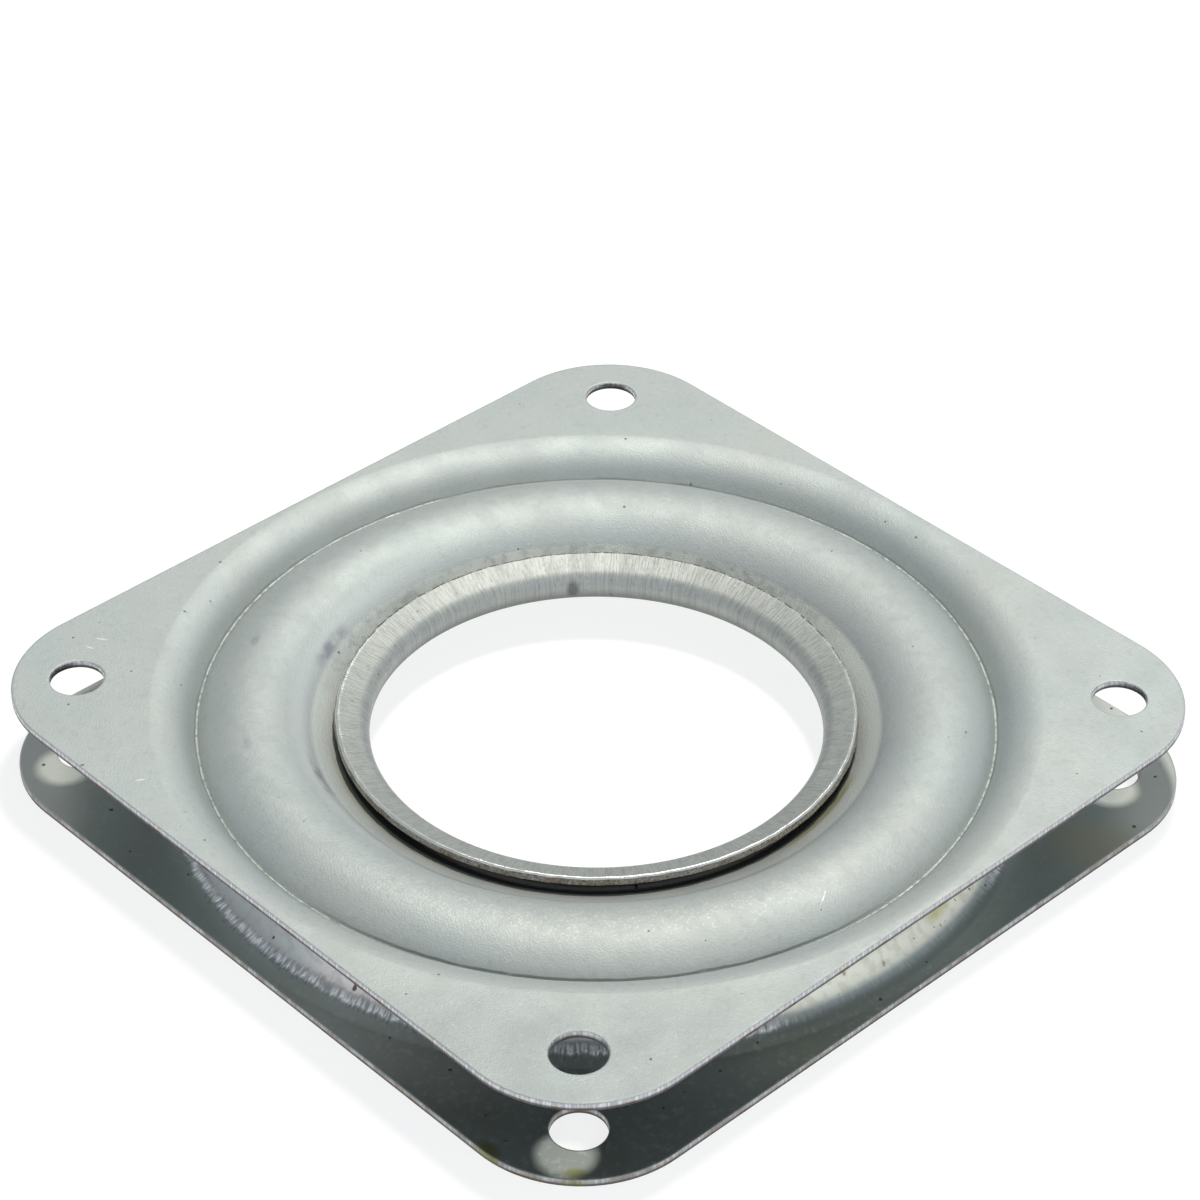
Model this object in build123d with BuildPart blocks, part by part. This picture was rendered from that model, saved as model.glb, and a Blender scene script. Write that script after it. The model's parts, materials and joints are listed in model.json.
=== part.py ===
"""Square lazy susan bearing: two pressed steel plates that turn on a ring of loose balls.

Each plate is one sheet of constant thickness. Its square outer flat is the mounting face. Inside
that the sheet bends in over a shoulder, falls along a wall to a sharp crease, rises again as the
round bead that holds the balls, and ends in a narrow land. The upper plate's land is dished towards
its round hole. The lower plate's land is drawn into a collar that stands through that hole, and the
collar is swaged outward into a lip that lies over the dished land and keeps the bearing together.

Units are millimetres, +Z is up, and the origin is the middle of the lower mounting face.
"""

import os
from math import atan2, cos, degrees, hypot, pi, radians, sin, sqrt, tan

from build123d import *

# Plates
plate_width = 90.0
corner_radius = 12.5
sheet = 0.9
hole_inset = 8.25  # from two sides of a plate to the middle of a fixing hole
hole_diameter = 5.4
side_flat = 0.1  # flat that is left beside the shoulder, at the middle of a side

# Ball ring
ball_diameter = 7.5
ball_play = 0.1  # room for a ball between the two races, above and below together
ball_spacing = 1.4  # least room from ball to ball

# Pressed section, measured on the face that lies against the board
bead_recess = 0.45  # the bead's crest stays this far below the mounting face
bead_radius = 7.2
shoulder_radius = 5.3
wall_angle = 53.0  # degrees from the mounting face
crease_gap = 2.5  # between the corners in which the two plates' walls and beads meet
crease_fillet = 0.3
foot_gap = 3.3  # between the corners in which the two plates' beads and lands meet
foot_fillet = 0.4
land_width = 3.75  # from the bead's foot to the edge of the upper plate's hole
land_slope = 25.0  # degrees that the upper plate's land falls towards its hole

# Collar and swaged lip of the lower plate
collar_clearance = 1.55  # between the collar and the edge of the upper plate's hole
collar_rise = 0.5  # how far the lower plate's land comes up on its way to the collar
collar_straight = 0.1  # what stays straight between the collar's two bends
bore_bend = 2.2
lip_overlap = 1.1  # how far the lip reaches over the upper plate's land
lip_gap = 1.15  # between the lip's rim and the land straight below it
lip_slope = 20.0  # degrees that the lip rises towards its rim

# Overall sizes that follow from those above
height = ball_diameter + ball_play + 2 * (sheet + bead_recess)
hole_pitch = plate_width - 2 * hole_inset
blank_radius = hypot(plate_width, plate_width) / 2

# The section is drawn along the middle of the sheet, as radius and depth below the mounting face
half_sheet = sheet / 2
middle_bead_radius = bead_radius - half_sheet
bead_centre_depth = bead_recess + bead_radius
crease_depth = (height - crease_gap) / 2
foot_depth = (height - foot_gap) / 2

# It follows from the plate's side inward: shoulder, crease, crest, foot and land
shoulder_bend = shoulder_radius - half_sheet
flat_radius = plate_width / 2 - side_flat
shoulder_corner = flat_radius - shoulder_bend * tan(radians(wall_angle / 2))
crease_radius = shoulder_corner - (crease_depth - half_sheet) / tan(radians(wall_angle))
pitch_radius = crease_radius - sqrt(middle_bead_radius**2 - (bead_centre_depth - crease_depth) ** 2)
foot_radius = pitch_radius - sqrt(middle_bead_radius**2 - (bead_centre_depth - foot_depth) ** 2)
upper_hole_radius = foot_radius - land_width
land_fall = tan(radians(land_slope))

rim = (blank_radius, half_sheet)
shoulder = (shoulder_corner, half_sheet)
crease = (crease_radius, crease_depth)
crest = (pitch_radius, bead_recess + half_sheet)
foot = (foot_radius, foot_depth)
land_edge = (upper_hole_radius, foot_depth + land_width * land_fall)

# The collar stands inside the upper plate's hole, and the lip's rim lies above that plate's land
collar_radius = upper_hole_radius - collar_clearance - half_sheet
lip_radius = upper_hole_radius + lip_overlap
land_top = height - foot_depth - (foot_radius - lip_radius) * land_fall + half_sheet / cos(radians(land_slope))
lip_rim = (
    lip_radius - half_sheet * sin(radians(lip_slope)),
    land_top + lip_gap + half_sheet * cos(radians(lip_slope)),
)
collar_foot = (collar_radius, foot_depth + collar_rise)
collar_top = (collar_radius, lip_rim[1] - (lip_rim[0] - collar_radius) * tan(radians(lip_slope)))

# The lip's bend takes what the collar's foot bend and straight leave of its height
foot_bend = bore_bend - half_sheet
rise_angle = degrees(atan2(collar_rise, foot_radius - collar_radius))
foot_bend_height = foot_bend * tan(radians((90 - rise_angle) / 2))
lip_bend_height = collar_top[1] - collar_foot[1] - foot_bend_height - collar_straight
lip_bend = lip_bend_height / tan(radians((90 - lip_slope) / 2))

ball_count = int(2 * pi * pitch_radius / (ball_diameter + ball_spacing))

# Depth runs up from the lower mounting face, and down from the upper one
lower_section = Plane.XZ
upper_section = Plane(origin=(0, 0, height), x_dir=(1, 0, 0), z_dir=(0, 1, 0))


def draw_race():
    """Draw the line that both plates share: outer flat, shoulder, wall, crease and bead."""
    FilletPolyline(rim, shoulder, crease, radius=shoulder_bend)
    ThreePointArc(crease, crest, foot)


def round_valleys(middle_line):
    """Round the two valleys beside the bead, the sharp crease and the softer inner foot."""
    fillet(middle_line.vertices().sort_by_distance(crease)[0], crease_fillet + half_sheet)
    fillet(middle_line.vertices().sort_by_distance(foot)[0], foot_fillet + half_sheet)


def draw_outline():
    """Draw a plate's square outline with its four fixing holes."""
    RectangleRounded(plate_width, plate_width, corner_radius)
    with GridLocations(hole_pitch, hole_pitch, 2, 2):
        Circle(hole_diameter / 2, mode=Mode.SUBTRACT)


os.makedirs("parts", exist_ok=True)

# Lower plate: its land turns up into the collar, and the collar turns out into the lip
with BuildPart() as lower_plate:
    with BuildSketch(lower_section):
        with BuildLine() as lower_line:
            draw_race()
            FilletPolyline(foot, collar_foot, collar_top, lip_rim, radius=[foot_bend, lip_bend])
            round_valleys(lower_line)
        trace(line_width=sheet)
    revolve(axis=Axis.Z)
    with BuildSketch():
        draw_outline()
    extrude(amount=height, mode=Mode.INTERSECT)
lower_plate.part.label = "lower_plate"
export_step(lower_plate.part, "parts/lower_plate.step")

# Upper plate: the same race turned over, with a plain round hole under the lip
with BuildPart() as upper_plate:
    with BuildSketch(upper_section):
        with BuildLine() as upper_line:
            draw_race()
            Line(foot, land_edge)
            round_valleys(upper_line)
        trace(line_width=sheet)
    revolve(axis=Axis.Z)
    with BuildSketch():
        draw_outline()
    extrude(amount=height, mode=Mode.INTERSECT)
upper_plate.part.label = "upper_plate"
export_step(upper_plate.part, "parts/upper_plate.step")

# Balls, evenly spread round the race
for number in range(ball_count):
    angle = radians(360 * number / ball_count)
    seat = Plane(origin=(pitch_radius * cos(angle), pitch_radius * sin(angle), height / 2))
    with BuildPart(seat) as ball:
        Sphere(ball_diameter / 2)
    name = f"ball_{number + 1:02d}"
    ball.part.label = name
    export_step(ball.part, f"parts/{name}.step")
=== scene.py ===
"""The looks of the square lazy susan bearing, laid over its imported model.

Both plates are modelled again as pressed sheet: a square border with its fixing holes is filled, its
inner ring is pulled inward along the pressed section, and the sheet then gets its thickness and its
rolled edges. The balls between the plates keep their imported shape.
"""

import json
from collections import Counter
from math import atan2, cos, degrees, radians, sin, sqrt, tan

import bpy
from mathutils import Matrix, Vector


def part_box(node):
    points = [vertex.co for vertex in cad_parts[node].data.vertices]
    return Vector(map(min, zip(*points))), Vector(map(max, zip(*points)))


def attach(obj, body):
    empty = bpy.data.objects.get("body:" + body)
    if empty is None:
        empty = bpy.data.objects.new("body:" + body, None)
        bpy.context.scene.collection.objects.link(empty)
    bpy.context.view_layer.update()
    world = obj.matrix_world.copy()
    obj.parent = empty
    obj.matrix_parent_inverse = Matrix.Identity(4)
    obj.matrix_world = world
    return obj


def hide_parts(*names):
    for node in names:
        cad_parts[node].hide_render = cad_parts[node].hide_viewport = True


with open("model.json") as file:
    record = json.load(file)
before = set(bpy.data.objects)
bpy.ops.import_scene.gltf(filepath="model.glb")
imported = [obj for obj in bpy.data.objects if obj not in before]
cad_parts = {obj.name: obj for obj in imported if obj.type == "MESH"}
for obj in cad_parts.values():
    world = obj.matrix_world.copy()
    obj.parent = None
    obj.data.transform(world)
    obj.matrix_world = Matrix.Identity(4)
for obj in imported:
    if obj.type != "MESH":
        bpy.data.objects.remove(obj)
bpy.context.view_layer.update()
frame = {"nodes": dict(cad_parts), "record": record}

mm = 0.001

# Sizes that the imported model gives
lower_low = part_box("lower_plate")[0]
upper_low, upper_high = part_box("upper_plate")
height = upper_high.z - lower_low.z
plate_width = upper_high.x - upper_low.x
holes = next(m for m in frame["record"]["mounts"] if m["name"] == "upper_fixing_holes")["dims"]
hole_offset = holes["pcd_mm"] / 2 * sin(radians(45)) * mm
hole_radius = holes["hole_r_mm"] * mm

# Sizes of the pressed section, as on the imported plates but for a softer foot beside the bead
sheet = 0.9 * mm
corner_radius = 12.5 * mm
side_flat = 0.1 * mm
bead_recess = 0.45 * mm
bead_radius = 7.2 * mm
shoulder_radius = 5.3 * mm
wall_angle = 53.0
crease_gap = 2.5 * mm
crease_fillet = 0.3 * mm
foot_gap = 3.3 * mm
foot_fillet = 2 * mm
land_width = 3.75 * mm
land_slope = 25.0
collar_clearance = 1.55 * mm
collar_rise = 0.5 * mm
collar_straight = 0.1 * mm
bore_bend = 2.2 * mm
lip_overlap = 1.1 * mm
lip_gap = 1.15 * mm
lip_slope = 20.0

# How finely the sheet is divided: points on its rounds, degrees on its arcs, parts of its straights
ring_steps = 360
corner_steps = 24
hole_steps = 72
shoulder_step = 4
crease_step = 12
bead_step = 3.5
foot_step = 7
bore_step = 8
lip_step = 6
straight_parts = 4
land_parts = 5
edge_segments = 4
lip_segments = 7

# The sheet's cut edges: the strip along them, how far they are rolled, and the wear of the lip
edge_margin = 0.32 * mm
rim_radius = hole_radius + edge_margin
edge_roll = 0.2 * mm
lip_roll = 0.25 * mm
lip_wear = 0.22 * mm
lip_wear_length = 1.6 * mm

# An edge this sharp, in degrees, is a cut edge, and points as near as this are at the same place
sharp_angle = 60
near = 0.01 * mm


def arc(centre, radius, start, stop, step):
    """Points on an arc of the section, as radius and depth, with angles from the mounting face inward."""
    count = max(1, round(abs(stop - start) / step))
    turns = [radians(start + (stop - start) * k / count) for k in range(count + 1)]
    return [Vector((centre.x - radius * sin(t), centre.y - radius * cos(t))) for t in turns]


def straight(start, stop, count):
    """Points between two points of the section, without the ends."""
    return [start.lerp(stop, k / count) for k in range(1, count)]


def lean(angle):
    """Two directions at a stretch that falls by an angle: inward along it, and out of its face."""
    turn = radians(angle)
    return Vector((-cos(turn), sin(turn))), Vector((-sin(turn), -cos(turn)))


# The pressed section starts from the middle of the sheet: shoulder, crease, bead and foot
half_sheet = sheet / 2
crease_depth = (height - crease_gap) / 2
foot_depth = (height - foot_gap) / 2
flat_radius = plate_width / 2 - side_flat
shoulder_corner = flat_radius - (shoulder_radius - half_sheet) * tan(radians(wall_angle / 2))
crease_radius = shoulder_corner - (crease_depth - half_sheet) / tan(radians(wall_angle))
bead_depth = bead_recess + bead_radius
middle_bead = bead_radius - half_sheet
pitch_radius = crease_radius - sqrt(middle_bead**2 - (bead_depth - crease_depth) ** 2)
foot_radius = pitch_radius - sqrt(middle_bead**2 - (bead_depth - foot_depth) ** 2)
upper_hole_radius = foot_radius - land_width
land_fall = tan(radians(land_slope))
collar_radius = upper_hole_radius - collar_clearance - half_sheet
lip_radius = upper_hole_radius + lip_overlap
rise_angle = degrees(atan2(collar_rise, foot_radius - collar_radius))

shoulder_centre = Vector((flat_radius, shoulder_radius))
bead_centre = Vector((pitch_radius, bead_depth))
foot_corner = Vector((foot_radius, foot_depth))


def valley(start, slope, fillet, side):
    """Centre of the fillet between the bead and a straight stretch, on the bead's outer or inner side."""
    inward, out = lean(slope)
    offset = start + fillet * out - bead_centre
    middle = -offset.dot(inward)
    travel = middle + side * sqrt(middle**2 - offset.length_squared + (bead_radius + fillet) ** 2)
    return bead_centre + offset + travel * inward


def bead_turn(centre):
    """Angle on the bead at which a fillet touches it."""
    return degrees(atan2(bead_centre.x - centre.x, bead_centre.y - centre.y))


def race(slope):
    """Outer face of the section from the border to the land, which falls by a slope."""
    wall_top = shoulder_centre + shoulder_radius * lean(wall_angle)[1]
    crease_centre = valley(wall_top, wall_angle, crease_fillet, -1)
    bead_start = bead_turn(crease_centre)
    foot_centre = valley(foot_corner + half_sheet * lean(slope)[1], slope, foot_fillet, 1)
    bead_stop = bead_turn(foot_centre)
    # The shoulder's first step is as good as flat, so the border reaches in over it
    shoulder = arc(shoulder_centre, shoulder_radius, 0, wall_angle, shoulder_step)[1:]
    shoulder[0].y = 0
    crease = arc(crease_centre, crease_fillet, wall_angle + 180, bead_start + 180, crease_step)
    bead = arc(bead_centre, bead_radius, bead_start, bead_stop, bead_step)[1:-1]
    foot = arc(foot_centre, foot_fillet, bead_stop + 180, slope + 180, foot_step)
    return shoulder + straight(shoulder[-1], crease[0], straight_parts) + crease + bead + foot


# The upper plate's land falls to the edge of its hole
upper_race = race(land_slope)
land_edge = foot_corner + land_width * Vector((-1, land_fall)) + half_sheet * lean(land_slope)[1]
upper_section = upper_race + straight(upper_race[-1], land_edge, land_parts) + [land_edge]

# The lower plate's land turns up into the collar, and the collar turns out into the lip
lip_turn = radians(lip_slope)
land_middle = height - foot_depth - (foot_radius - lip_radius) * land_fall
land_top = land_middle + half_sheet / cos(radians(land_slope))
lip_half = half_sheet * Vector((-sin(lip_turn), cos(lip_turn)))
rim_middle = Vector((lip_radius, land_top + lip_gap)) + lip_half
lip_rim = rim_middle + lip_half
collar_foot = foot_depth + collar_rise
collar_top = rim_middle.y - (rim_middle.x - collar_radius) * tan(lip_turn)
foot_bend = bore_bend - half_sheet
foot_bend_height = foot_bend * tan(radians((90 - rise_angle) / 2))
lip_bend_height = collar_top - collar_foot - foot_bend_height - collar_straight
lip_bend = lip_bend_height / tan(radians((90 - lip_slope) / 2))
bore_centre = Vector((collar_radius + foot_bend, collar_foot + foot_bend_height))
lip_centre = Vector((collar_radius + lip_bend, bore_centre.y + collar_straight))
lower_race = race(rise_angle)
bore_points = arc(bore_centre, bore_bend, rise_angle, 90, bore_step)
lip_points = arc(lip_centre, lip_bend + half_sheet, 90, 180 - lip_slope, lip_step)
lower_section = lower_race + straight(lower_race[-1], bore_points[0], straight_parts)
lower_section += bore_points + lip_points
lower_section += straight(lip_points[-1], lip_rim, straight_parts) + [lip_rim]


def by_hole(place, centres):
    """Whether a place on the border belongs to the rim of one of the holes."""
    return any((place - Vector(centre)).length < rim_radius + near for centre in centres)


def pick_rim(plate, chosen):
    """Select the open edges of a plate whose two ends are both at chosen places."""
    bpy.ops.mesh.select_all(action="DESELECT")
    bpy.ops.object.mode_set(mode="OBJECT")
    uses = Counter(key for face in plate.data.polygons for key in face.edge_keys)
    for edge in plate.data.edges:
        ends = [plate.data.vertices[i].co for i in edge.vertices]
        edge.select = uses[edge.key] == 1 and all(chosen(end) for end in ends)
    bpy.ops.object.mode_set(mode="EDIT")


def pull(drop, size, centre):
    """Pull the selected edges into a new strip of faces, by a drop and a change of size about a centre."""
    bpy.ops.mesh.extrude_edges_move(TRANSFORM_OT_translate={"value": (0, 0, drop)})
    bpy.ops.transform.resize(value=(size, size, 1), center_override=centre)


def press_sheet(name, section, face, up):
    """Model one plate's outer face: its flat border with the fixing holes, then the rings of its section."""
    inner_width = plate_width - 2 * edge_margin
    bpy.ops.object.select_all(action="DESELECT")
    bpy.ops.mesh.primitive_plane_add(size=inner_width)
    plate = bpy.context.object
    plate.name = name
    plate.data.name = name
    bpy.ops.object.mode_set(mode="EDIT")
    inner_corner = corner_radius * inner_width / plate_width
    bpy.ops.mesh.bevel(offset=inner_corner, segments=corner_steps, affect="VERTICES")
    bpy.ops.mesh.delete(type="ONLY_FACE")
    centres = [(x, y, 0) for x in (-hole_offset, hole_offset) for y in (-hole_offset, hole_offset)]
    for centre in centres:
        bpy.ops.mesh.primitive_circle_add(vertices=hole_steps, radius=rim_radius, location=centre)
    bpy.ops.mesh.primitive_circle_add(vertices=ring_steps, radius=section[0].x)
    bpy.ops.mesh.select_all(action="SELECT")
    bpy.ops.mesh.select_mode(type="EDGE")
    bpy.ops.mesh.fill()
    # A narrow strip runs along the holes and the outline, so that their rolled edges come out even
    pick_rim(plate, lambda place: place.xy.length > section[0].x + near and not by_hole(place, centres))
    pull(0, plate_width / inner_width, (0, 0, 0))
    for centre in centres:
        pick_rim(plate, lambda place: by_hole(place, [centre]))
        pull(0, hole_radius / rim_radius, centre)
    # The inner ring is pulled along the section
    radius, depth = section[0]
    pick_rim(plate, lambda place: place.xy.length < radius + near)
    for point in section[1:]:
        pull(up * (depth - point.y), point.x / radius, (0, 0, 0))
        radius, depth = point
    bpy.ops.object.vertex_group_assign_new()
    plate.vertex_groups.active.name = "inner_edge"
    bpy.ops.mesh.select_all(action="SELECT")
    bpy.ops.transform.translate(value=(0, 0, face))
    bpy.ops.mesh.normals_make_consistent(inside=False)
    bpy.ops.object.mode_set(mode="OBJECT")
    border = max(plate.data.polygons, key=lambda p: p.area)
    if border.normal.z * up < 0:
        bpy.ops.object.mode_set(mode="EDIT")
        bpy.ops.mesh.flip_normals()
        bpy.ops.object.mode_set(mode="OBJECT")
    return plate


def apply_all(plate):
    """Apply a plate's modifiers in their order."""
    for modifier in [m.name for m in plate.modifiers]:
        bpy.ops.object.modifier_apply(modifier=modifier)


def wear_lip(plate):
    """Make the lip's swaged edge a little ragged."""
    grit = bpy.data.textures.new("lip_wear", "CLOUDS")
    grit.noise_scale = lip_wear_length
    grit.cloud_type = "COLOR"
    wear = plate.modifiers.new("wear", "DISPLACE")
    wear.texture = grit
    wear.texture_coords = "LOCAL"
    wear.direction = "RGB_TO_XYZ"
    wear.vertex_group = "inner_edge"
    wear.strength = lip_wear
    apply_all(plate)


def thicken(plate):
    """Give the sheet its thickness, with the cut edges and the inside as faces of their own material."""
    wall = plate.modifiers.new("wall", "SOLIDIFY")
    wall.thickness = sheet
    wall.offset = -1
    wall.use_even_offset = True
    wall.material_offset = 2
    wall.material_offset_rim = 1
    apply_all(plate)


def round_lip(plate, rim):
    """Round the lip's upper corner, which the swaging tool pressed out."""
    bpy.ops.object.mode_set(mode="EDIT")
    bpy.ops.mesh.select_all(action="DESELECT")
    bpy.ops.object.mode_set(mode="OBJECT")
    for edge in plate.data.edges:
        edge.select = all(end in rim for end in edge.vertices)
    bpy.ops.object.mode_set(mode="EDIT")
    bpy.ops.mesh.bevel(offset=lip_roll, segments=lip_segments, material=lip_slot)
    bpy.ops.object.mode_set(mode="OBJECT")


def roll_edges(plate):
    """Roll the other cut edges and smooth the sheet."""
    bpy.ops.object.shade_smooth()
    roll = plate.modifiers.new("roll", "BEVEL")
    roll.width = edge_roll
    roll.segments = edge_segments
    roll.limit_method = "ANGLE"
    roll.angle_limit = radians(sharp_angle)
    plate.modifiers.new("smooth", "WEIGHTED_NORMAL")
    apply_all(plate)


def srgb(text):
    """An sRGB hex colour as linear red, green, blue and alpha."""
    parts = [int(text[k : k + 2], 16) / 255 for k in (1, 3, 5)]
    return [p / 12.92 if p <= 0.04045 else ((p + 0.055) / 1.055) ** 2.4 for p in parts] + [1]


def add(tree, kind, links=None, **settings):
    """Add a node with its settings, give its inputs values or links, and return its first output."""
    made = tree.nodes.new(kind)
    for key, value in settings.items():
        setattr(made, key, value)
    for key, value in (links or {}).items():
        if isinstance(value, bpy.types.NodeSocket):
            tree.links.new(value, made.inputs[key])
        else:
            made.inputs[key].default_value = value
    return next(output for output in made.outputs if output.enabled)


def start_metal(name):
    """A new metal: the material and its node tree."""
    material = bpy.data.materials.new(name)
    material.use_nodes = True
    tree = material.node_tree
    tree.nodes["Principled BSDF"].inputs["Metallic"].default_value = 1
    return material, tree


def places(tree):
    """Where a point lies: in space, by its radius, by its direction from the axis, and by its height."""
    point = add(tree, "ShaderNodeTexCoord").node.outputs["Object"]
    level = add(tree, "ShaderNodeVectorMath", {0: point, 1: (1, 1, 0)}, operation="MULTIPLY")
    radius = add(tree, "ShaderNodeVectorMath", {0: level}, operation="LENGTH")
    around = add(tree, "ShaderNodeVectorMath", {0: level}, operation="NORMALIZE")
    rise = add(tree, "ShaderNodeSeparateXYZ", {0: point}).node.outputs["Z"]
    return point, radius, around, rise


def ramp(tree, value, start, stop):
    """A mask that is 0 as far as a start and 1 from a stop on, with a soft rise between them."""
    return add(tree, "ShaderNodeMapRange", {0: value, 1: start, 2: stop}, interpolation_type="SMOOTHSTEP")


def band(tree, value, centre, width, fade):
    """A mask that is 1 within half a width of a centre, and falls to 0 over a soft edge."""
    off = add(tree, "ShaderNodeMath", {0: value, 1: centre}, operation="SUBTRACT")
    off = add(tree, "ShaderNodeMath", {0: off}, operation="ABSOLUTE")
    return ramp(tree, off, width / 2 + fade, width / 2)


def sector(tree, around, middle, reach, fade):
    """A mask for a stretch of the ring: its middle, its reach to each side and its soft ends, in degrees."""
    toward = (cos(radians(middle)), sin(radians(middle)), 0)
    facing = add(tree, "ShaderNodeVectorMath", {0: around, 1: toward}, operation="DOT_PRODUCT")
    return ramp(tree, facing, cos(radians(reach + fade)), cos(radians(reach)))


def blot(tree, point, radius, angle, level, turn, size):
    """A mask for one soft mark at a radius, an angle and a height, turned and of a given size each way."""
    middle = (radius * cos(radians(angle)), radius * sin(radians(angle)), level)
    place = {"Vector": point, "Location": middle, "Rotation": (0, 0, radians(turn)), "Scale": size}
    off = add(tree, "ShaderNodeMapping", place, vector_type="TEXTURE")
    off = add(tree, "ShaderNodeVectorMath", {0: off}, operation="LENGTH")
    core = 0.2
    end = 0.6
    return ramp(tree, off, end, core)


def shared(tree, *masks):
    """The mask of the places that all the given masks or strengths share."""
    mask = masks[0]
    for other in masks[1:]:
        mask = add(tree, "ShaderNodeMath", {0: mask, 1: other}, operation="MULTIPLY")
    return mask


def either(tree, masks):
    """The mask of the places that any of the given masks holds."""
    mask = masks[0]
    for other in masks[1:]:
        mask = add(tree, "ShaderNodeMath", {0: mask, 1: other}, operation="MAXIMUM")
    return mask


def outside(tree, mask):
    """The mask of the places that a mask leaves out."""
    return add(tree, "ShaderNodeMath", {0: 1, 1: mask}, operation="SUBTRACT")


def lay(tree, colour, layers):
    """Lay colours over a colour one after another, each where its mask says."""
    for mask, text in layers:
        colour = add(tree, "ShaderNodeMix", {0: mask, 6: colour, 7: srgb(text)}, data_type="RGBA")
    return colour


def blend(tree, value, layers):
    """Change a number in steps, each where its mask says."""
    for mask, other in layers:
        value = add(tree, "ShaderNodeMix", {0: mask, 2: value, 3: other})
    return value


def clouds(tree, point, size, low, high):
    """Soft patches of a given size, as a mask."""
    patches = add(tree, "ShaderNodeTexNoise", {"Vector": point, "Scale": 1 / size, "Detail": 2})
    return ramp(tree, patches, low, high)


def streaks(tree, around, radius, at_radius, width, length):
    """Fine marks that run in and out from the axis, of a given width and length, as a number from 0 to 1."""
    marks = at_radius / width
    round_ring = add(tree, "ShaderNodeVectorMath", {0: around, "Scale": marks}, operation="SCALE")
    inward = add(tree, "ShaderNodeMath", {0: radius, 1: 1 / length}, operation="MULTIPLY")
    inward = add(tree, "ShaderNodeCombineXYZ", {2: inward})
    at = add(tree, "ShaderNodeVectorMath", {0: round_ring, 1: inward}, operation="ADD")
    return add(tree, "ShaderNodeTexNoise", {"Vector": at, "Scale": 1, "Detail": 2, "Roughness": 0.6})


def wander(tree, around, radius, at_radius, width, length, play):
    """The radius of a point with some play in and out, so that a band at that radius gets uneven sides."""
    drift = streaks(tree, around, radius, at_radius, width, length)
    drift = add(tree, "ShaderNodeMath", {0: drift, 1: play, 2: -play / 2}, operation="MULTIPLY_ADD")
    return add(tree, "ShaderNodeMath", {0: radius, 1: drift}, operation="ADD")


def scatter(tree, at, spacing, largest, share):
    """Random cells, as a point's distance from its cell's middle and the size of that cell's mark."""
    cells = add(tree, "ShaderNodeTexVoronoi", {"Vector": at, "Scale": 1 / spacing}, voronoi_dimensions="2D")
    pick = add(tree, "ShaderNodeSeparateColor", {0: cells.node.outputs["Color"]})
    size = add(tree, "ShaderNodeMapRange", {0: pick, 1: 1 - share, 2: 1, 4: largest / spacing})
    return cells, size


def specks(tree, point, spacing, largest, share):
    """Small uneven specks, of which only a share of the cells holds one, as a mask."""
    stray_size = 0.5 * mm
    stray_reach = 0.3 * mm
    stray = {"Vector": point, "Scale": 1 / stray_size, "Detail": 1}
    stray = add(tree, "ShaderNodeTexNoise", stray).node.outputs["Color"]
    stray = add(tree, "ShaderNodeVectorMath", {0: stray, "Scale": stray_reach}, operation="SCALE")
    at = add(tree, "ShaderNodeVectorMath", {0: point, 1: stray}, operation="ADD")
    off, size = scatter(tree, at, spacing, largest, share)
    return ramp(tree, off, size, shared(tree, size, 0.5))


def scratches(tree, point, turn, spacing, width, stretch, share):
    """Short straight scratches that lie one way, as a mask."""
    way = {"Vector": point, "Rotation": (0, 0, radians(turn)), "Scale": (1, stretch, 1)}
    at = add(tree, "ShaderNodeMapping", way, vector_type="TEXTURE")
    off, size = scatter(tree, at, spacing, width, share)
    return add(tree, "ShaderNodeMath", {0: off, 1: size}, operation="LESS_THAN")


def dress(tree, colour, matt, grain, relief):
    """Give the metal its colour, its roughness and the relief of its grain."""
    raised = add(tree, "ShaderNodeBump", {"Height": grain, "Distance": relief, "Strength": 1})
    inputs = tree.nodes["Principled BSDF"].inputs
    for name, value in (("Base Color", colour), ("Roughness", matt), ("Normal", raised)):
        tree.links.new(value, inputs[name])


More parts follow.
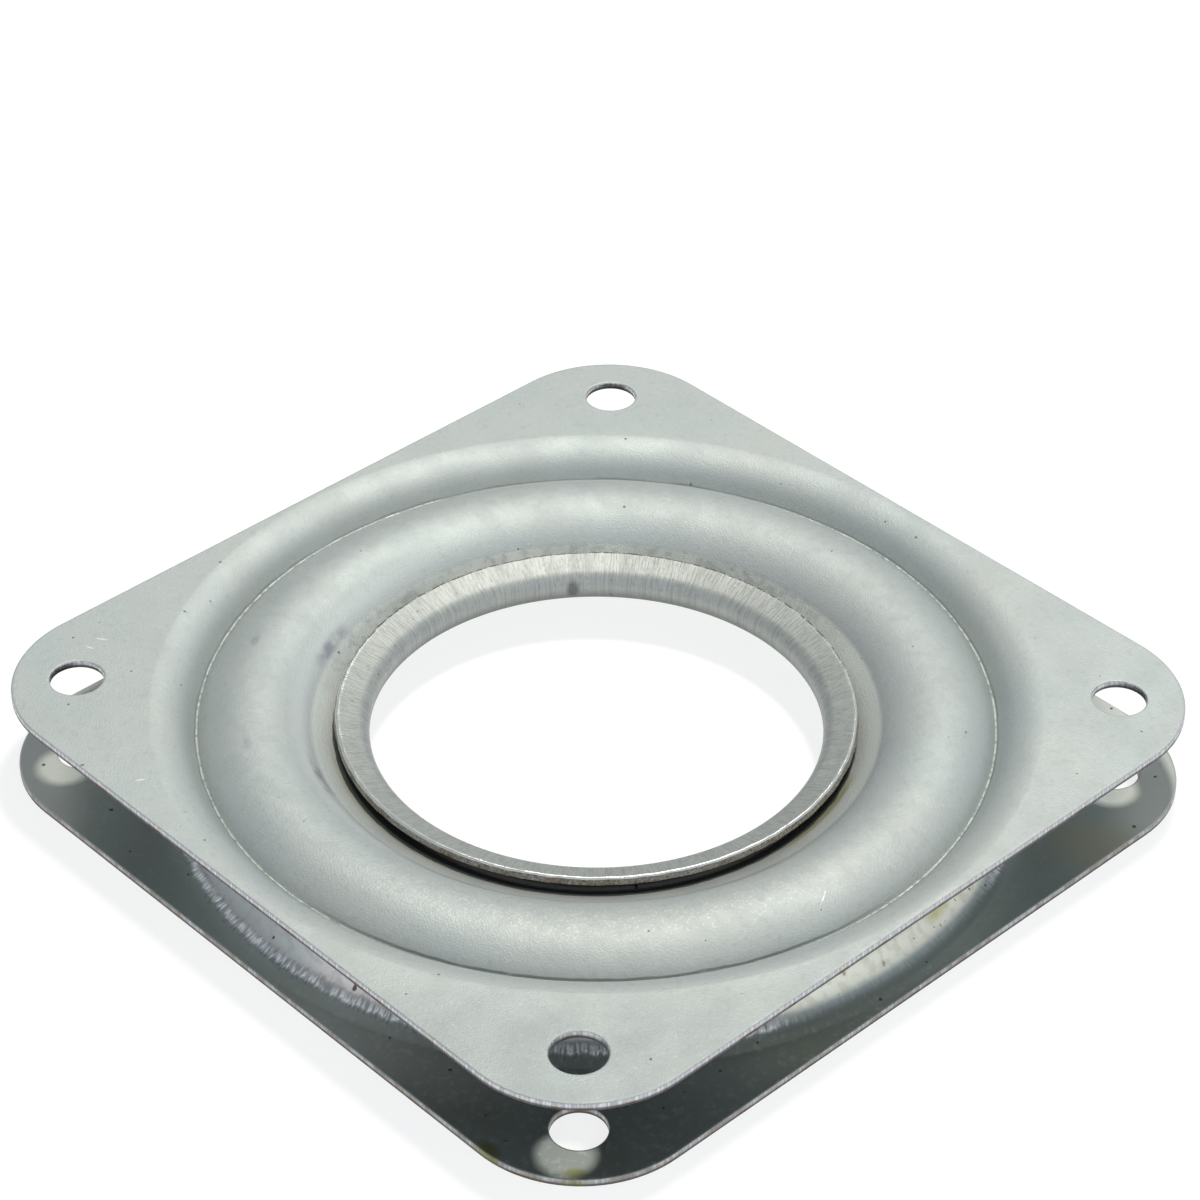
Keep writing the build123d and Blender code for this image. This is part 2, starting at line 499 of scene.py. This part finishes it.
def zinc_plated_steel():
    """Zinc plating on pressed sheet: an even satin grey with a fine grain, few specks and scratches."""
    material, tree = start_metal("zinc_plated_pressed_steel")
    point, radius, around, _ = places(tree)
    warm = clouds(tree, point, 20 * mm, 0.4, 0.7)
    cool = clouds(tree, point, 9 * mm, 0.45, 0.7)
    pale = clouds(tree, point, 0.45 * mm, 0.5, 0.8)
    grey = clouds(tree, point, 0.7 * mm, 0.5, 0.8)
    dull = specks(tree, point, 4.2 * mm, 0.2 * mm, 0.2)
    fine_dull = specks(tree, point, 1.5 * mm, 0.07 * mm, 0.2)
    bright = scratches(tree, point, 28, 6 * mm, 0.05 * mm, 14, 0.3)
    crossing = scratches(tree, point, -52, 6 * mm, 0.04 * mm, 18, 0.3)
    dark = scratches(tree, point, 75, 7 * mm, 0.04 * mm, 12, 0.25)
    nicks = [
        blot(tree, point, 50.7 * mm, 217.8, height, 35, (1.5 * mm, 0.25 * mm, 1 * mm)),
        blot(tree, point, 51.6 * mm, 219.5, height, 20, (1.0 * mm, 0.22 * mm, 1 * mm)),
        blot(tree, point, 46.3 * mm, 244.8, height, 60, (1.2 * mm, 0.25 * mm, 1 * mm)),
    ]
    # The crease is rubbed bright by the press, with a painted highlight on its line away from the front,
    # painted shade along its bottom and in its valley, and a painted shadow at the front where the shoulder
    # hides it
    strayed = wander(tree, around, radius, crease_radius, 5 * mm, 10 * mm, 0.3 * mm)
    front = sector(tree, around, 318, 22, 26)
    beside_front = outside(tree, front)
    # Painted shade along the bottom of the crease
    painted_crease_shade = band(tree, strayed, crease_radius + 0.06 * mm, 0.26 * mm, 0.14 * mm)
    crease_line = band(tree, strayed, crease_radius, 0.1 * mm, 0.1 * mm)
    # The crease's bright line is burnish plus a painted highlight, left off at the front
    crease_burnish_and_highlight = shared(tree, crease_line, beside_front, clouds(tree, point, 0.6 * mm, 0.3, 0.6), 0.55)
    # Painted shadow at the front, where the shoulder hides the crease
    crease_shade = band(tree, strayed, crease_radius - 0.28 * mm, 0.1 * mm, 0.1 * mm)
    crease_shade = shared(tree, crease_shade, front, clouds(tree, point, 2 * mm, 0, 0.45))
    # Painted shade darkens the valley outside the crease
    painted_valley_shade = band(tree, radius, crease_radius + 0.5 * mm, 0.2 * mm, 1.7 * mm)
    # The land is painted a little warm and light against the lip's shade and is darker at the back, and
    # light and shade are painted at the foot beside it
    land = ramp(tree, radius, foot_radius, foot_radius - 0.8 * mm)
    # The land is darker at the back
    darker_back_land = shared(tree, land, sector(tree, around, 145, 37, 45))
    mottled = shared(tree, darker_back_land, clouds(tree, point, 0.9 * mm, 0.45, 0.65))
    # Painted shade along the foot
    painted_foot_shade = band(tree, radius, foot_radius - 0.3 * mm, 0.1 * mm, 0.25 * mm)
    # Painted light on the foot's flank at the left, which faces the light
    painted_foot_light = band(tree, radius, foot_radius + 0.5 * mm, 0.2 * mm, 1.6 * mm)
    painted_foot_light = shared(tree, painted_foot_light, sector(tree, around, 228, 25, 40))
    # Painted shade at the foot along the front
    painted_front_foot_shade = band(tree, radius, foot_radius + 0.6 * mm, 0.4 * mm, 0.4 * mm)
    painted_front_foot_shade = shared(tree, painted_front_foot_shade, front)
    # The bead is a little cloudy, and painted glints on its grain stand for its sparkle at the front
    bead = band(tree, radius, pitch_radius, 2.5 * mm, 2.5 * mm)
    cloudy = clouds(tree, point, 1.6 * mm, 0.45, 0.62)
    painted_glints = clouds(tree, point, 0.3 * mm, 0.54, 0.7)
    # Soft scuffs lie along the foot, and two smudges on the bead
    broken = clouds(tree, point, 2 * mm, 0.25, 0.7)
    scuffs = either(tree, [sector(tree, around, middle, 1, 7) for middle in (206, 248)])
    scuffs = shared(tree, band(tree, radius, foot_radius + 0.1 * mm, 0.3 * mm, 0.6 * mm), scuffs, broken)
    smudges = [
        blot(tree, point, 35.7 * mm, 213, height - 0.6 * mm, 213, (1.1 * mm, 2.2 * mm, 1 * mm)),
        blot(tree, point, 35.1 * mm, 240, height - 0.5 * mm, 240, (1.0 * mm, 2.6 * mm, 1 * mm)),
    ]
    # Painted black shade sits in the gap under the lip, yellow passivate along its edge, and the border is
    # darker at the front
    # Painted shade under the lip
    grease_and_shade = ramp(tree, radius, lip_radius, lip_radius - 0.4 * mm)
    gap = band(tree, radius, lip_radius + 0.3 * mm, 0.3 * mm, 0.35 * mm)
    # The border is darker at the front
    darker_front_border = shared(tree, ramp(tree, radius, 44 * mm, 50 * mm), sector(tree, around, 316, 12, 26))
    layers = [
        (shared(tree, warm, 0.3), "#CAC9C3"),
        (shared(tree, cool, 0.3), "#BDC6C7"),
        (shared(tree, darker_front_border, 0.4), "#ABB1B0"),
        (shared(tree, pale, 0.25), "#DADEDC"),
        (shared(tree, grey, 0.25), "#A9B0AE"),
        (shared(tree, land, 0.5), "#CFD2CE"),
        (shared(tree, darker_back_land, 0.8), "#9BA19E"),
        (shared(tree, mottled, 0.45), "#85868D"),
        (shared(tree, painted_foot_shade, 0.15), "#8D9393"),
        (shared(tree, painted_front_foot_shade, 0.45), "#757B7B"),
        (shared(tree, bead, cloudy, 0.2), "#B0B7B5"),
        (shared(tree, bead, painted_glints, front, 0.35), "#EDEFEC"),
        (shared(tree, painted_foot_light, 0.55), "#E4E8E6"),
        (shared(tree, scuffs, 0.6), "#8A8B97"),
        (shared(tree, either(tree, smudges), broken, 0.5), "#9C9DA8"),
        (shared(tree, painted_valley_shade, 0.31), "#949A98"),
        (shared(tree, painted_crease_shade, 0.55), "#7F8583"),
        (shared(tree, crease_shade, 0.6), "#545957"),
        (crease_burnish_and_highlight, "#E2E5E1"),
        (shared(tree, dull, 0.75), "#7F8583"),
        (shared(tree, fine_dull, 0.5), "#8E9492"),
        (shared(tree, dark, 0.5), "#8A8F8D"),
        (either(tree, [bright, crossing] + nicks), "#E6E9E6"),
        (shared(tree, grease_and_shade, 0.8), "#33312C"),
        (shared(tree, gap, sector(tree, around, 13, 7, 10), 0.6), "#9A9850"),
        (shared(tree, gap, sector(tree, around, 78, 2, 4), 0.6), "#9A9340"),
        (shared(tree, gap, sector(tree, around, 262, 18, 12), 0.3), "#A6A36A"),
    ]
    colour = lay(tree, srgb("#C5CBCA"), layers)
    patchy = clouds(tree, point, 5 * mm, 0.3, 0.7)
    matt = blend(tree, 0.65, [(patchy, 0.71), (crease_burnish_and_highlight, 0.5), (bright, 0.45), (dull, 0.85)])
    # The plating's grain is finer than this, and is drawn coarser so that it shows
    grain_size = 0.18 * mm
    grain_relief = 0.034 * mm
    grain = add(tree, "ShaderNodeTexNoise", {"Vector": point, "Scale": 1 / grain_size, "Detail": 1})
    dress(tree, colour, matt, grain, grain_relief)
    return material


def zinc_plated_inside():
    """The face inside the bearing: the same plating, duller and oily, with the punch's marks at its bend."""
    material, tree = start_metal("oily_zinc_inside")
    point, radius, around, _ = places(tree)
    marks_turn = radians(33)
    marks_relief = 0.16 * mm
    bend_radius = flat_radius - (shoulder_radius - sheet) * sin(marks_turn)
    marks = streaks(tree, around, radius, bend_radius, 0.26 * mm, 1.6 * mm)
    # The marks' bright and dark colours are painted highlight and painted shade
    painted_mark_highlights = ramp(tree, marks, 0.42, 0.6)
    painted_mark_shade = ramp(tree, marks, 0.52, 0.38)
    # The marks stand like ragged teeth, with painted highlights on the ridge and bend and painted shade in
    # the hollows, but few of them on the right, where the wall has a cream tint and painted light
    # A cream tint with painted light on the right wall
    cream_and_lit_right = sector(tree, around, 1, 15, 10)
    toothed = outside(tree, shared(tree, cream_and_lit_right, 0.9))
    ragged = wander(tree, around, radius, bend_radius, 0.5 * mm, 8 * mm, 0.9 * mm)
    bend = band(tree, ragged, bend_radius, 0.2 * mm, 0.6 * mm)
    ridge = band(tree, ragged, bend_radius, 0.1 * mm, 0.5 * mm)
    hollow = band(tree, ragged, bend_radius + 0.5 * mm, 0.1 * mm, 0.5 * mm)
    # The wall is painted lighter than the flat below it, as painted light
    wall = ramp(tree, radius, bend_radius + 0.1 * mm, bend_radius - 0.5 * mm)
    cream_wall = ramp(tree, radius, bend_radius - 0.05 * mm, bend_radius - 0.7 * mm)
    wall = blend(tree, wall, [(cream_and_lit_right, cream_wall)])
    # Painted shadow along the foot of the wall on the right
    painted_wall_foot_shadow = shared(tree, band(tree, radius, bend_radius + 0.6 * mm, 0.4 * mm, 0.7 * mm), cream_and_lit_right)
    # Painted black shade sits in the gap under the lip, the left and right corners are paler, and painted
    # shade darkens the flat at the front
    # Painted shade under the lip
    gap = ramp(tree, radius, lip_radius + 1 * mm, lip_radius)
    flat = ramp(tree, radius, bend_radius, bend_radius + 1 * mm)
    corner = ramp(tree, radius, 50 * mm, 55 * mm)
    paler_corners = either(tree, [sector(tree, around, middle, 10, 8) for middle in (46, 226)])
    # Painted shade on the flat at the front
    painted_front_shade = sector(tree, around, 327, 22, 24)
    oil = clouds(tree, point, 11 * mm, 0.45, 0.68)
    pale = clouds(tree, point, 0.6 * mm, 0.5, 0.8)
    mottled = clouds(tree, point, 1.1 * mm, 0.45, 0.65)
    dull = specks(tree, point, 3.4 * mm, 0.3 * mm, 0.35)
    fine_dull = specks(tree, point, 1.2 * mm, 0.08 * mm, 0.3)
    rust = specks(tree, point, 1.1 * mm, 0.26 * mm, 0.4)
    rust = shared(tree, rust, wall, sector(tree, around, 0, 18, 10))
    olive = blot(tree, point, 52.3 * mm, 31.5, sheet, 30, (14 * mm, 9 * mm, 4 * mm))
    yellow = blot(tree, point, 40.8 * mm, 9, 2.5 * mm, 99, (5 * mm, 1.6 * mm, 3 * mm))
    moss = [
        blot(tree, point, 55.5 * mm, 306.8, sheet, 0, (3 * mm, 1.6 * mm, 2 * mm)),
        blot(tree, point, 57.6 * mm, 314.9, sheet, 45, (2.6 * mm, 1.4 * mm, 2 * mm)),
    ]
    layers = [
        (shared(tree, flat, painted_front_shade, 0.75), "#7F8685"),
        (shared(tree, corner, paler_corners, 0.9), "#CBCEC9"),
        (shared(tree, oil, 0.3), "#90958C"),
        (shared(tree, pale, 0.35), "#BCC2C0"),
        (shared(tree, olive, 0.6), "#B4B09A"),
        (shared(tree, wall, 0.8), "#D6D9D7"),
        (shared(tree, wall, sector(tree, around, 250, 8, 18), 0.4), "#9DA3A3"),
        (shared(tree, wall, sector(tree, around, 290, 5, 12), 0.7), "#F2E9E6"),
        (shared(tree, wall, mottled, 0.35), "#A9ABA9"),
        (shared(tree, wall, cream_and_lit_right, 0.85), "#ECEADA"),
        (shared(tree, wall, cream_and_lit_right, mottled, 0.35), "#BDB8A2"),
        (shared(tree, painted_wall_foot_shadow, 0.6), "#7B827F"),
        (shared(tree, yellow, 0.6), "#B3AC60"),
        (shared(tree, rust, 0.6), "#7A6C44"),
        (shared(tree, either(tree, moss), 0.7), "#74763A"),
        (shared(tree, dull, 0.8), "#4A4A44"),
        (shared(tree, fine_dull, 0.5), "#5B5D57"),
        (shared(tree, hollow, painted_mark_shade, toothed, 0.5), "#6A6A74"),
        (shared(tree, bend, toothed, 0.6), "#CFD0D4"),
        (shared(tree, bend, painted_mark_shade, toothed, 0.35), "#82828C"),
        (shared(tree, ridge, painted_mark_highlights, toothed, 0.85), "#F8F8FC"),
        (shared(tree, gap, 0.9), "#2B2926"),
    ]
    colour = lay(tree, srgb("#A5ADAB"), layers)
    matt = blend(tree, 0.55, [(oil, 0.48), (wall, 0.38), (bend, 0.42), (dull, 0.8)])
    dress(tree, colour, matt, shared(tree, marks, ridge, toothed), marks_relief)
    return material


def sheared_edge():
    """The cut edge of the sheet: bright and ribbed where the blade went in, dark where the steel tore."""
    material, tree = start_metal("sheared_steel_edge")
    point, _, _, rise = places(tree)
    # The ribs stand across the edge, so the pattern is drawn out along the plate's thickness
    rib_width = 0.3 * mm
    rib_relief = 0.03 * mm
    upright = add(tree, "ShaderNodeVectorMath", {0: point, 1: (1, 1, 0.06)}, operation="MULTIPLY")
    ribs = add(tree, "ShaderNodeTexNoise", {"Vector": upright, "Scale": 1 / rib_width, "Detail": 2})
    lit = ramp(tree, ribs, 0.42, 0.66)
    # Both plates tore on the lower half of their edge, so the level is taken from each one's own lower face
    below = add(tree, "ShaderNodeMath", {0: rise, 1: height / 2}, operation="LESS_THAN")
    apart = height - sheet
    level = add(tree, "ShaderNodeMath", {0: below, 1: apart, 2: -apart}, operation="MULTIPLY_ADD")
    level = add(tree, "ShaderNodeMath", {0: rise, 1: level}, operation="ADD")
    torn = ramp(tree, level, 0.6 * sheet, 0.32 * sheet)
    rust = clouds(tree, point, 2.5 * mm, 0.5, 0.62)
    stained = shared(tree, below, clouds(tree, point, 1.6 * mm, 0.4, 0.6))
    moss = [
        blot(tree, point, 55.5 * mm, 306.8, half_sheet, 0, (4 * mm, 3 * mm, 2 * mm)),
        blot(tree, point, 57.6 * mm, 314.9, half_sheet, 45, (3 * mm, 3 * mm, 2 * mm)),
    ]
    layers = [
        (shared(tree, lit, 0.7), "#ECECEE"),
        (shared(tree, below, 0.3), "#94918C"),
        (shared(tree, torn, 0.85), "#5A595D"),
        (shared(tree, torn, rust, 0.8), "#6B5740"),
        (shared(tree, stained, 0.55), "#7A7062"),
        (shared(tree, either(tree, moss), 0.7), "#7A7B3C"),
    ]
    colour = lay(tree, srgb("#B1B2B6"), layers)
    matt = blend(tree, 0.42, [(torn, 0.65)])
    dress(tree, colour, matt, ribs, rib_relief)
    return material


def bare_drawn_steel():
    """The collar and lip: plating rubbed thin in the draw, with fine marks that run over the lip."""
    material, tree = start_metal("bare_drawn_steel_lip")
    point, radius, around, rise = places(tree)
    mark_relief = 0.045 * mm
    fine = streaks(tree, around, radius, lip_radius, 0.2 * mm, 1.4 * mm)
    broad = streaks(tree, around, radius, lip_radius, 1.4 * mm, 5 * mm)
    lit = ramp(tree, fine, 0.48, 0.64)
    dark = ramp(tree, fine, 0.5, 0.36)
    worn = ramp(tree, broad, 0.4, 0.65)
    grit = clouds(tree, point, 0.4 * mm, 0.5, 0.75)
    # The bore's mouth below is painted darker as shade, most at the back
    painted_bore_shade = ramp(tree, rise, 6.0 * mm, 4.3 * mm)
    back_bore_shade_size = (2.4 * mm, 1.6 * mm, 2.4 * mm)
    painted_back_bore_shade = blot(tree, point, collar_radius - half_sheet, 143, 5.5 * mm, 143, back_bore_shade_size)
    # The swaging tool burnished the rim, which is painted brighter as a highlight, and dark spots and
    # painted shade lie along it at the back
    back = sector(tree, around, 135, 55, 30)
    # Burnish with a painted highlight on the rim
    rim = ramp(tree, radius, lip_radius - 0.72 * mm, lip_radius - 0.55 * mm)
    rim = shared(tree, rim, outside(tree, back))
    # Dark spots and painted shade along the rim at the back
    rim_dirt_and_shade = ramp(tree, radius, lip_radius - 0.56 * mm, lip_radius - 0.44 * mm)
    rim_dirt_and_shade = shared(tree, rim_dirt_and_shade, back, clouds(tree, point, 0.7 * mm, 0.35, 0.55))
    dull = specks(tree, point, 2.2 * mm, 0.16 * mm, 0.2)
    layers = [
        (shared(tree, worn, 0.4), "#BDBFBC"),
        (shared(tree, lit, 0.2), "#D0D2D0"),
        (shared(tree, dark, 0.25), "#838683"),
        (shared(tree, grit, 0.4), "#979A97"),
        (shared(tree, dull, 0.5), "#6D6F6D"),
        (shared(tree, painted_bore_shade, 0.7), "#70766F"),
        (shared(tree, painted_back_bore_shade, 0.6), "#4C4B48"),
        (shared(tree, rim, 0.8), "#DADCD9"),
        (shared(tree, rim_dirt_and_shade, 0.9), "#4A4338"),
    ]
    colour = lay(tree, srgb("#B5B9B6"), layers)
    matt = blend(tree, 0.6, [(worn, 0.66), (dull, 0.75), (rim, 0.37)])
    dress(tree, colour, matt, fine, mark_relief)
    return material


def rough_lip_edge():
    """The lip's cut edge: grey brown and granular, with no plating left on it."""
    material, tree = start_metal("rough_bare_steel_edge")
    point = add(tree, "ShaderNodeTexCoord").node.outputs["Object"]
    grit_size = 0.22 * mm
    grit_relief = 0.03 * mm
    grit = add(tree, "ShaderNodeTexNoise", {"Vector": point, "Scale": 1 / grit_size, "Detail": 2})
    pale = ramp(tree, grit, 0.55, 0.7)
    pits = ramp(tree, grit, 0.45, 0.3)
    brown = clouds(tree, point, 3 * mm, 0.42, 0.6)
    layers = [(shared(tree, brown, 0.7), "#8A7C6C"), (pale, "#B4B0AA"), (pits, "#5C5750")]
    colour = lay(tree, srgb("#8F8C88"), layers)
    matt = blend(tree, 0.45, [(brown, 0.58)])
    dress(tree, colour, matt, grit, grit_relief)
    return material


def bearing_steel():
    """Hardened balls, ground and polished, under a thin uneven film of grease."""
    material, tree = start_metal("polished_bearing_steel")
    point = add(tree, "ShaderNodeTexCoord").node.outputs["Object"]
    grease_relief = 0.005 * mm
    grease_and_shade = clouds(tree, point, 2 * mm, 0.42, 0.66)
    colour = lay(tree, srgb("#BDBDBA"), [(shared(tree, grease_and_shade, 0.5), "#9C9276")])
    matt = blend(tree, 0.12, [(grease_and_shade, 0.3)])
    dress(tree, colour, matt, grease_and_shade, grease_relief)
    return material


# Finishes come in threes: an outer face, its cut edge and its inside
zinc = zinc_plated_steel()
edge = sheared_edge()
inside = zinc_plated_inside()
upper_finish = [zinc, edge, inside]
lower_finish = upper_finish + [bare_drawn_steel(), rough_lip_edge(), inside]
lip_slot = len(upper_finish)

upper_plate = press_sheet("upper_sheet", upper_section, height, 1)
for finish in upper_finish:
    upper_plate.data.materials.append(finish)
thicken(upper_plate)
roll_edges(upper_plate)

# The lower plate's collar and lip have a finish of their own, from its faces' places before it is thick
lower_plate = press_sheet("lower_sheet", lower_section, 0, -1)
for finish in lower_finish:
    lower_plate.data.materials.append(finish)
for face in lower_plate.data.polygons:
    if face.center.xy.length < bore_points[0].x or face.center.z > height / 2:
        face.material_index = lip_slot
lip_ring = {v.index for v in lower_plate.data.vertices if v.groups}
wear_lip(lower_plate)
thicken(lower_plate)
round_lip(lower_plate, lip_ring)
roll_edges(lower_plate)

ball_finish = bearing_steel()
for name, node in frame["nodes"].items():
    if name.startswith("ball_"):
        for slot in node.material_slots:
            slot.material = ball_finish

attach(upper_plate, "upper_plate")
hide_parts("upper_plate")
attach(lower_plate, "lower_plate")
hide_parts("lower_plate")

# Camera
camera_azimuth = 46.626
camera_elevation = 37.070
camera_roll = 0.113
camera_distance = 384.65 * mm
camera_lens = 112.34
camera_sensor = 36
camera_clip = 0.01
aim_right = 0.33 * mm
aim_away = 14.51 * mm

turn = radians(camera_azimuth)
right = Vector((cos(turn), sin(turn), 0))
away = Vector((-sin(turn), cos(turn), 0))
up = Vector((0, 0, 1))
aim = right * aim_right + away * aim_away + up * height
tilt = radians(camera_elevation)
camera_data = bpy.data.cameras.new("camera")
camera_data.lens = camera_lens
camera_data.sensor_width = camera_sensor
camera = bpy.data.objects.new("camera", camera_data)
camera.location = aim + camera_distance * (up * sin(tilt) - away * cos(tilt))
camera.rotation_euler = (radians(90) - tilt, 0, turn)
camera.rotation_euler.rotate_axis("Z", radians(camera_roll))
camera_data.clip_start = camera_clip
bpy.context.scene.collection.objects.link(camera)
bpy.context.scene.camera = camera

# Floor: white paper that shows white to the eye and in the metal, and keeps the bearing's shadow
floor_width = 6
paper_roughness = 0.9
paper_lift = 0.78
bpy.ops.object.select_all(action="DESELECT")
bpy.ops.mesh.primitive_plane_add(size=floor_width, location=(0, 0, 0))
floor = bpy.context.object
floor.name = "floor"
paper = bpy.data.materials.new("white_studio_paper")
paper.use_nodes = True
paper_tree = paper.node_tree
paper_shader = paper_tree.nodes["Principled BSDF"]
paper_shader.inputs["Base Color"].default_value = srgb("#909090")
paper_shader.inputs["Roughness"].default_value = paper_roughness
paper_shader.inputs["Emission Color"].default_value = srgb("#FFFFFF")
rays = add(paper_tree, "ShaderNodeLightPath").node.outputs
seen = 0
for ray in ("Is Camera Ray", "Is Glossy Ray", "Is Transmission Ray"):
    seen = add(paper_tree, "ShaderNodeMath", {0: seen, 1: rays[ray]}, operation="ADD")
lift = add(paper_tree, "ShaderNodeMath", {0: seen, 1: paper_lift}, operation="MULTIPLY")
paper_tree.links.new(lift, paper_shader.inputs["Emission Strength"])
floor.data.materials.append(paper)

# Light: one soft lamp above and behind, in a room whose pale walls differ a little from side to side
lamp_size = 0.1
lamp_energy = 3.2
lamp_right = 0.089
lamp_away = 0.209
lamp_height = 0.710
lamp_data = bpy.data.lights.new("soft_lamp", "AREA")
lamp_data.shape = "DISK"
lamp_data.size = lamp_size
lamp_data.energy = lamp_energy
lamp_data.color = srgb("#FFFBF1")[:3]
lamp = bpy.data.objects.new("soft_lamp", lamp_data)
lamp.location = right * lamp_right + away * lamp_away + up * lamp_height
lamp.rotation_euler = (-lamp.location).to_track_quat("-Z", "Y").to_euler()
bpy.context.scene.collection.objects.link(lamp)

room_level = 0.03
room_sides = [(right, 0.70), (-right, 0.42), (-away, 0.93), (away, 0.40)]
world = bpy.data.worlds.new("pale_room")
world.use_nodes = True
world_tree = world.node_tree
sky = add(world_tree, "ShaderNodeTexCoord").node.outputs["Generated"]
level = room_level
for side, strength in room_sides:
    facing = add(world_tree, "ShaderNodeVectorMath", {0: sky, 1: side}, operation="DOT_PRODUCT")
    facing = add(world_tree, "ShaderNodeMath", {0: facing, 1: 0}, operation="MAXIMUM")
    level = add(world_tree, "ShaderNodeMath", {0: facing, 1: strength, 2: level}, operation="MULTIPLY_ADD")
world_tree.links.new(level, world_tree.nodes["Background"].inputs["Strength"])
world_tree.nodes["Background"].inputs["Color"].default_value = srgb("#F1F8FE")
bpy.context.scene.world = world

bpy.context.scene.view_settings.view_transform = "Standard"
